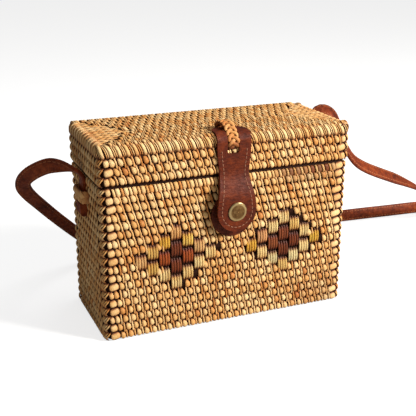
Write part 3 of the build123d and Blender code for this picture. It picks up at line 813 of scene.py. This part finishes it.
rim_z = BODY_TOP - row_height / 2 - 0.3
for low, high, side in (
    (-flat_x - CORNER_REACH, -flat_x + 2.6, -1),
    (flat_x - 6.0, flat_x + CORNER_REACH, 1),
):
    corner_bead(body_front, body_wall, low, high, rim_z, row_height)
    corner_strands(body_front, body_wall, low if side < 0 else high, rim_z - 0.4, row_height * 0.8, side)

lid_weaves = [Weave() for _ in range(4)]
weave_rows(lid_weaves, lid_wall, LID_FIRST, LID_ROW, LID_ROWS, LID_DRIFT, 2.0)

# Lid's top: long strands on the side fields, stitches on the front and back fields, and strands
# that roll over the edge all round
top_weave = Weave()
ROUNDS = 6
MITRE = 36.0  # how far in the side fields reach
EDGE_RADIUS = 4.0
SIDE_SPACING, SIDE_HALF, SIDE_STEP = 2.25, 5.6, 10.2


def top_roll(wall, u, half, length, lean, tint):
    """A strand from the lid's last wall row over its rounded edge and onto the top."""
    bottom = LID_FIRST + LID_ROWS * LID_ROW
    rise = np.linspace(bottom - 0.5, LID_TOP - EDGE_RADIUS, 5)
    turn = np.radians(np.linspace(15, 90, 7))
    flat = np.linspace(0.6, length, 4)
    tail = LID_TOP - 0.05 - 1.3 * eased(flat, length - 2.0, length + 0.3)
    z = np.concatenate([rise, LID_TOP - EDGE_RADIUS + EDGE_RADIUS * np.sin(turn), tail])
    rolled = BULGE - EDGE_RADIUS + EDGE_RADIUS * np.cos(turn)
    out = np.concatenate([[-0.5], np.full(4, BULGE), rolled, BULGE - EDGE_RADIUS - flat])
    out[1] = 0.7
    tilt = np.concatenate([np.zeros(5), turn, np.full(4, math.pi / 2)])
    run = np.concatenate([[0], np.cumsum(np.hypot(np.diff(z), np.diff(out)))])
    path, face = wall.place(np.full(16, u), z, out)
    side = np.cross([0, 0, 1.0], face)
    path = path - side * (lean * np.maximum(run - 2.5, 0) ** 1.1)[:, None]
    normal = face * np.cos(tilt)[:, None] + np.array([0, 0, 1.0]) * np.sin(tilt)[:, None]
    swell = np.concatenate([[0.4, 0.9], np.ones(11), 1 - 0.5 * eased(flat[-3:], length - 2.5, length)])
    top_weave.strand(path, normal, half * swell, 0.15 + 0.8 * min(half, 1.1) * swell, tint, cross=6)


side_coil = MITRE / ROUNDS
for side in ("right", "left"):
    deck = Deck(side)
    for index in range(-19, 20):
        u = index * SIDE_SPACING
        limit = MITRE * (1 - abs(u) / HALF_DEPTH)
        middle = 6.4 + index % 3 * 3.4
        while middle < limit + 2.0:
            t = np.linspace(-1, 1, 11)
            over = 1 - eased(np.abs(t), 0.7, 1.0)
            depth = middle + t * SIDE_HALF
            out = 0.5 + 0.5 * coil((depth % side_coil) - side_coil / 2, side_coil) - 1.2 * (1 - over)
            path, normal = deck.place(u + 0.5 * t + jitter(0.2), depth, out)
            tint = cane_tint(rng.random() < 0.3)
            top_weave.strand(path, normal, 0.4 + 0.55 * over, 0.2 + 0.75 * over, tint, cross=6)
            middle += SIDE_STEP
top_row = HALF_DEPTH / ROUNDS
for side in ("front", "back"):
    deck = Deck(side)
    for index in range(ROUNDS):
        depth = (index + 0.5) * top_row + (1.2 if index == 0 else 0.0)
        limit = HALF_LENGTH - depth * MITRE / HALF_DEPTH
        count = int(limit / PITCH)
        for column in range(-count - 1, count + 1):
            u = (column + 0.5) * PITCH + LID_DRIFT * index % PITCH - 1.5
            if abs(u) < limit - 0.5:
                # Painted shade: a fixed blend towards brown darkens every stitch on the lid's top.
                settings = {"stain_and_shade": 0.13, "fine": 2, "relief": 1.9, "reach": (3.6, -3.6)}
                bead_cell(top_weave, deck, u, depth, top_row * 0.92, **settings)
flat_x, ends = lid_wall.flat_x, lid_wall.ends
for low, high in (
    (-flat_x - 3.0, flat_x + 3.0),
    (flat_x + 3.6, ends[2] + 2.6),
    (ends[2] + 3.4, ends[5] - 2.4),
    (ends[5] - 2.6, lid_wall.total - flat_x - 2.6),
):
    count = round((high - low) / PITCH)
    for column in range(count):
        u = low + (column + 0.5) * (high - low) / count
        top_roll(lid_wall, u - 1.2, 1.3, 3.2, 0.3, blend_tint(cane_tint(False), PALE, 0.5))
        for step in (1.35, 2.9):
            top_roll(lid_wall, u + step + jitter(0.15), 0.42, 4.6, 0.3, cane_tint(True))

for body, weaves in (("body", body_weaves), ("lid", lid_weaves)):
    for face, weave in zip(("front", "right", "back", "left"), weaves):
        weave.build(f"{body}_weave_{face}", cane, body, "rattan")
top_weave.build("lid_weave_top", cane, "lid", "rattan")

# Flower strips: four to a block
STRIP_SPACING, STRIP_HALF_LENGTH = 2.12, 5.9
t = np.linspace(0, 1, 11)
swell = np.sin(math.pi * np.clip(t, 0.02, 0.98))
for shade in ("dark", "red", "yellow", "pale"):
    node = f"flower_{shade}_strips"
    strips = Weave()
    for bx, bz, tint, owner in blocks:
        if owner != node:
            continue
        for strip in range(4):
            x = bx + (strip - 1.5) * STRIP_SPACING + 0.35 * (t - 0.5)
            z = bz + STRIP_HALF_LENGTH - 2 * STRIP_HALF_LENGTH * t + jitter(0.3)
            out = -0.3 + 1.7 * swell**0.5 + 0.25 * math.cos((strip - 1.5) * 0.8)
            path, normal = body_wall.place(x + jitter(0.1), z, out)
            light = rng.uniform(0.78, 1.12)
            lit = tuple(c * light for c in tint)
            strips.strand(path, normal, 0.6 + 0.4 * swell**0.4, 0.35 + 0.6 * swell**0.4, lit)
    strips.build(f"flower_{shade}_cane", flower_cane, "body", f"cane_{shade}", (node,))


def plait(weave, line, normal, width, pitch, strand_half, thick):
    """Three strands that weave over and under each other along a line."""
    along = unit(np.gradient(line, axis=0))
    side = unit(np.cross(along, normal))
    normal = unit(np.cross(side, along))
    run = run_of(line)
    for k in range(3):
        phase = 2 * math.pi * (run / pitch + k / 3)
        swing = np.sin(phase) * (width / 2 - strand_half)
        rise = np.sin(2 * phase) * thick * 0.45
        path = line + side * swing[:, None] + normal * rise[:, None]
        tint = blend_tint(ORANGE, HONEY, rng.random())
        weave.strand(path, normal, strand_half, thick, tint)
        weave.strand(path, -normal, strand_half, thick, tint, cross=5)


def rounded(points, times=4):
    """Cuts the corners of a line of points until it is smooth."""
    line = np.array(points, float)
    for _ in range(times):
        cut = [line[0]]
        for a, b in zip(line, line[1:]):
            cut += [a * 0.75 + b * 0.25, a * 0.25 + b * 0.75]
        line = np.array(cut + [line[-1]])
    return line


# Plaited loop over the clasp
TAB_X = 1.3
braid_x = TAB_X - 0.8
braid_line = rounded(
    [
        (braid_x - 0.6, -19.4, 146.2),
        (braid_x - 0.6, -21.8, 151.5),
        (braid_x - 0.5, -23.6, 155.6),
        (braid_x, -29.0, 156.2),
        (braid_x, -35.6, 155.0),
        (braid_x + 0.2, -40.8, 150.2),
        (braid_x + 0.3, -45.2, 145.6),
        (braid_x + 0.4, -43.6, 140.6),
        (braid_x + 0.4, -40.6, 137.2),
    ]
)
braid_line = resample(braid_line, 0.6)
braid_away = np.cross(unit(np.gradient(braid_line, axis=0)), [1.0, 0, 0])
braid_away *= np.sign((braid_away * (braid_line - [0, -29, 140])).sum(1))[:, None]
braid = Weave()
plait(braid, braid_line, braid_away, 9.8, 13.0, 1.35, 1.2)
braid.build("clasp_plait", cane, "lid", "cane", ("clasp_braid_loop",))

# Side rings
RING_Z = 104.0
RING_ROUTE = (
    (95.2, -10.6), (101, -10.6), (105.2, -10.0), (105.4, -4),
    (105.4, 4), (105.2, 10.0), (101, 10.6), (95.2, 10.6),
)
for side, name in ((-1, "side_ring_left"), (1, "side_ring_right")):
    ring_line = resample(rounded([(side * x, y, RING_Z) for x, y in RING_ROUTE]), 0.8)
    outward = unit(ring_line - np.array([side * 92.0, 0, RING_Z]))
    ring = Weave()
    plait(ring, ring_line, outward, 10.6, 9.0, 2.0, 1.1)
    ring.build(name + "_plait", cane, "body", "cane", (name,))

# Hinge rings: round cane rings in their holes
HINGE_X, HINGE_Y, HINGE_Z = 60.0, 43.0, 119.8
HINGE_RADIUS, CANE_RADIUS = 6.6, 1.25
HINGE_STEPS, CANE_SIDES = 49, 12
turn = np.linspace(0, 2 * math.pi, HINGE_STEPS)
around = np.linspace(0, 2 * math.pi, CANE_SIDES + 1)[:-1]
grain = 1 + 0.06 * np.sin(around[None] * 3 + turn[:, None] * 12)
cosines, sines = np.cos(around)[None, :, None], np.sin(around)[None, :, None]
for x, name in ((-HINGE_X, "hinge_ring_left"), (HINGE_X, "hinge_ring_right")):
    centre = np.array([x, HINGE_Y, HINGE_Z])
    line = centre + HINGE_RADIUS * np.stack([np.zeros_like(turn), np.cos(turn), np.sin(turn)], -1)
    radial = unit(line - centre)
    spokes = radial[:, None] * cosines + np.array([1.0, 0, 0]) * sines
    points = line[:, None] + CANE_RADIUS * grain[..., None] * spokes
    # across runs as 0.7 times the cosine round the cane, so the cane material paints amber and brown shade
    # on the ring's inner and outer faces.
    coords = np.stack(
        [
            np.broadcast_to(0.7 * np.cos(around), (HINGE_STEPS, CANE_SIDES)),
            np.broadcast_to((turn * HINGE_RADIUS)[:, None], (HINGE_STEPS, CANE_SIDES)),
            np.zeros((HINGE_STEPS, CANE_SIDES)),
        ],
        -1,
    )
    ring = Weave()
    ring.grid(points, GOLD, coords, closed=True)
    ring.build(name + "_cane", cane, "body", "cane", (name,))

# Shoulder strap: a flat strip along the route
STRAP_WIDTH, STRAP_THICK, STRAP_EDGE, STRAP_LENGTH = 12.0, 2.7, 0.9, 0.92
EXIT_X, EXIT_Z, RISE_Z = 0.10155, 0.113, 0.118  # metres, as the route
# The strip's own twist: how far along it, in millimetres, and degrees
STRAP_TWIST = [
    (0, 0), (12, 0), (30, 58), (52, 48), (80, 0), (390, 0), (430, 0), (500, -45), (570, -45), (620, 0),
    (680, 0), (740, -35), (830, -35), (866, -50), (895, -60), (912, 0), (930, 0),
]
left_end = [(-EXIT_X, 0, EXIT_Z), (-EXIT_X, 0, RISE_Z)]
right_end = [(EXIT_X, 0, RISE_Z), (EXIT_X, 0, EXIT_Z)]
line = resample(route_line([*left_end, *strap_route, *right_end]), 2.5)
along = unit(np.gradient(line, axis=0))
wide = np.zeros_like(line)
wide[0] = (0, 1, 0)
for i in range(1, len(line)):
    axis = np.cross(along[i - 1], along[i])
    wide[i] = wide[i - 1]
    if np.linalg.norm(axis) > 1e-9:
        angle = math.atan2(np.linalg.norm(axis), along[i - 1] @ along[i])
        wide[i] = Matrix.Rotation(angle, 3, Vector(axis)) @ Vector(wide[i - 1])
    wide[i] = unit(wide[i] - along[i] * (wide[i] @ along[i]))
face = np.cross(along, wide)
last = math.atan2(face[-1][1], wide[-1][1])
share = np.linspace(0, 1, len(line))
even_run = share * np.linalg.norm(np.diff(line, axis=0), axis=1).sum()
twist = last * share + np.radians(np.interp(even_run, *zip(*STRAP_TWIST)))
wide, face = (
    wide * np.cos(twist)[:, None] + face * np.sin(twist)[:, None],
    face * np.cos(twist)[:, None] - wide * np.sin(twist)[:, None],
)
strap_run = run_of(line)
half_width, half_thick = STRAP_WIDTH / 2, STRAP_THICK / 2
flat_width, flat_thick = half_width - STRAP_EDGE, half_thick - STRAP_EDGE
section = []
for sx, sy, first in ((1, 1, 0), (-1, 1, 90), (-1, -1, 180), (1, -1, 270)):
    for step in (0, 45, 90):
        angle = math.radians(first + step)
        x = sx * flat_width + STRAP_EDGE * math.cos(angle)
        y = sy * flat_thick + STRAP_EDGE * math.sin(angle)
        section.append((x, y))
section = np.array(section)
strap = Weave()
points = line[:, None] + wide[:, None] * section[None, :, :1] + face[:, None] * section[None, :, 1:]
coords = np.stack(
    [
        np.broadcast_to(section[:, 0] / half_width, points.shape[:2]),
        np.broadcast_to(strap_run[:, None], points.shape[:2]),
        np.broadcast_to(section[:, 1] / half_thick, points.shape[:2]),
    ],
    -1,
)
strap.grid(points, (1, 1, 1), coords, closed=True)
strap_piece = strap.build("strap_strip", strap_leather, "body", "strap_leather", ("shoulder_strap",))


def stitch(weave, start, end, normal, half, height):
    """One stitch of sewing thread, which sinks into the leather at both ends."""
    t = np.linspace(0, 1, 5)[:, None]
    swell = np.sin(math.pi * np.clip(t[:, 0], 0.06, 0.94)) ** 0.5
    path = start + (end - start) * t + normal * (0.12 * swell[:, None] - 0.12)
    normals = np.broadcast_to(normal, path.shape)
    weave.strand(path, normals, half * (0.5 + 0.5 * swell), height * swell, (1, 1, 1), cross=5)


def strap_point(at, edge, side):
    """A seam's point on the strap, and the way out of the leather there."""
    i = min(int(np.searchsorted(strap_run, at)), len(line) - 1)
    f = (at - strap_run[i - 1]) / (strap_run[i] - strap_run[i - 1])
    middle, across, out = (v[i - 1] * (1 - f) + v[i] * f for v in (line, wide, face))
    return middle + across * edge * (half_width - STRAP_SEAM) + out * side * half_thick, out * side


# Strap stitching along both edges of both sides
STRAP_SEAM, STRAP_STITCH, STRAP_STEP = 1.9, 2.2, 3.2
strap_seams = Weave()
for edge in (-1, 1):
    for side in (-1, 1):
        at = 3.0
        while at + 2.4 < strap_run[-1] - 2:
            start, out = strap_point(at, edge, side)
            end, _ = strap_point(at + STRAP_STITCH, edge, side)
            stitch(strap_seams, start, end, unit(out), 0.38, 0.3)
            at += STRAP_STEP
strap_seam_piece = strap_seams.build("strap_stitches", strap_thread, "body", "strap_leather")
strap_seam_piece.parent = strap_piece
strap_seam_piece.matrix_parent_inverse = strap_piece.matrix_world.inverted()

# Clasp stitching, laid on the tab's front
TAB_SEAM, TAB_STITCH, TAB_STEP = 3.3, 2.1, 3.15
TAB_ROUND, TAB_ROUND_Z = 15.6, 92.8
SEAM_TOP, SEAM_FOOT = 140.0, 94.0
tab = nodes["clasp_tab"]


def tab_front(x, z):
    """The point of the tab's front at x and z, and its normal, or nothing beside the tab."""
    hit, place, normal, _ = tab.ray_cast(Vector((x * MM, -0.09, z * MM)), Vector((0, 1, 0)))
    return (np.array(place) / MM, np.array(normal)) if hit else (None, None)


outline = []
for z in np.linspace(SEAM_TOP, SEAM_FOOT, 40):
    span = [x for x in np.linspace(0, 20, 161) if tab_front(TAB_X + x, z)[0] is not None]
    outline.append((max(span) - TAB_SEAM if span else 12.0, z))
seam_round = TAB_ROUND - TAB_SEAM
for angle in np.radians(np.linspace(0, 90, 14)):
    outline.append((seam_round * math.cos(angle), TAB_ROUND_Z - seam_round * math.sin(angle)))
right_half = [(TAB_X + x, 0, z) for x, z in outline]
left_half = [(TAB_X - x, 0, z) for x, z in reversed(outline[:-1])]
seam = resample(np.array(right_half + left_half), 0.5)
seam_run = run_of(seam)
tab_seams = Weave()
at = 1.0
while at + 2.2 < seam_run[-1]:
    hits = []
    for place in (at, at + TAB_STITCH):
        x, z = (float(np.interp(place, seam_run, seam[:, i])) for i in (0, 2))
        hits.append(tab_front(x, z))
    if all(point is not None for point, _ in hits):
        stitch(tab_seams, hits[0][0], hits[1][0], unit(hits[0][1]), 0.36, 0.28)
    at += TAB_STEP
tab_seams.build("clasp_stitches", thread, "clasp", "clasp_leather")

# Floor, backdrop and light
FLOOR_GREY, FLOOR_GLOW = 0.5, 0.76
FLOOR_REACH, FLOOR_DROP = 6, 0.0004
WORLD_LIGHT = 0.17  # on the object; the camera sees the world white
AIM = (0, 0, 0.07)  # what the lamps point at
floor_material = bpy.data.materials.new("floor")
floor_material.use_nodes = True
tree = floor_material.node_tree
tree.nodes.clear()
output = tree.nodes.new("ShaderNodeOutputMaterial")
diffuse = tree.nodes.new("ShaderNodeBsdfDiffuse")
diffuse.inputs["Color"].default_value = (FLOOR_GREY, FLOOR_GREY, FLOOR_GREY, 1)
glow = tree.nodes.new("ShaderNodeEmission")
path_node = tree.nodes.new("ShaderNodeLightPath")
lift = tree.nodes.new("ShaderNodeMath")
lift.operation = "MULTIPLY"
lift.inputs[1].default_value = FLOOR_GLOW
tree.links.new(path_node.outputs["Is Camera Ray"], lift.inputs[0])
tree.links.new(lift.outputs[0], glow.inputs["Strength"])
added = tree.nodes.new("ShaderNodeAddShader")
tree.links.new(diffuse.outputs[0], added.inputs[0])
tree.links.new(glow.outputs[0], added.inputs[1])
tree.links.new(added.outputs[0], output.inputs["Surface"])
floor_mesh = bpy.data.meshes.new("floor")
corners = [(x * FLOOR_REACH, y * FLOOR_REACH, 0) for x, y in ((-1, -1), (1, -1), (1, 1), (-1, 1))]
floor_mesh.from_pydata(corners, [], [(0, 1, 2, 3)])
floor_mesh.materials.append(floor_material)
floor = bpy.data.objects.new("floor", floor_mesh)
floor.location.z = -FLOOR_DROP
scene.collection.objects.link(floor)
floor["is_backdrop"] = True

world = bpy.data.worlds.new("studio")
scene.world = world
world.use_nodes = True
tree = world.node_tree
backdrop = tree.nodes["Background"]
backdrop.inputs["Color"].default_value = (1, 1, 1, 1)
rays = tree.nodes.new("ShaderNodeLightPath")
level = tree.nodes.new("ShaderNodeMapRange")
level.inputs["To Min"].default_value = WORLD_LIGHT
level.inputs["To Max"].default_value = 1.0
tree.links.new(rays.outputs["Is Camera Ray"], level.inputs["Value"])
tree.links.new(level.outputs["Result"], backdrop.inputs["Strength"])


def lamp(name, place, size, watts, tone=(1, 1, 1)):
    data = bpy.data.lights.new(name, "AREA")
    data.shape = "SQUARE"
    data.size = size
    data.energy = watts
    data.color = tone
    made = bpy.data.objects.new(name, data)
    scene.collection.objects.link(made)
    made.location = place
    made.rotation_euler = (Vector(AIM) - Vector(place)).to_track_quat("-Z", "Y").to_euler()


lamp("key", (1.0, -0.95, 0.8), 0.3, 38.0, (1.0, 0.97, 0.92))
lamp("top", (0.2, 0.1, 1.2), 0.5, 3.0)

scene.view_settings.view_transform = "Standard"
low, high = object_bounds()
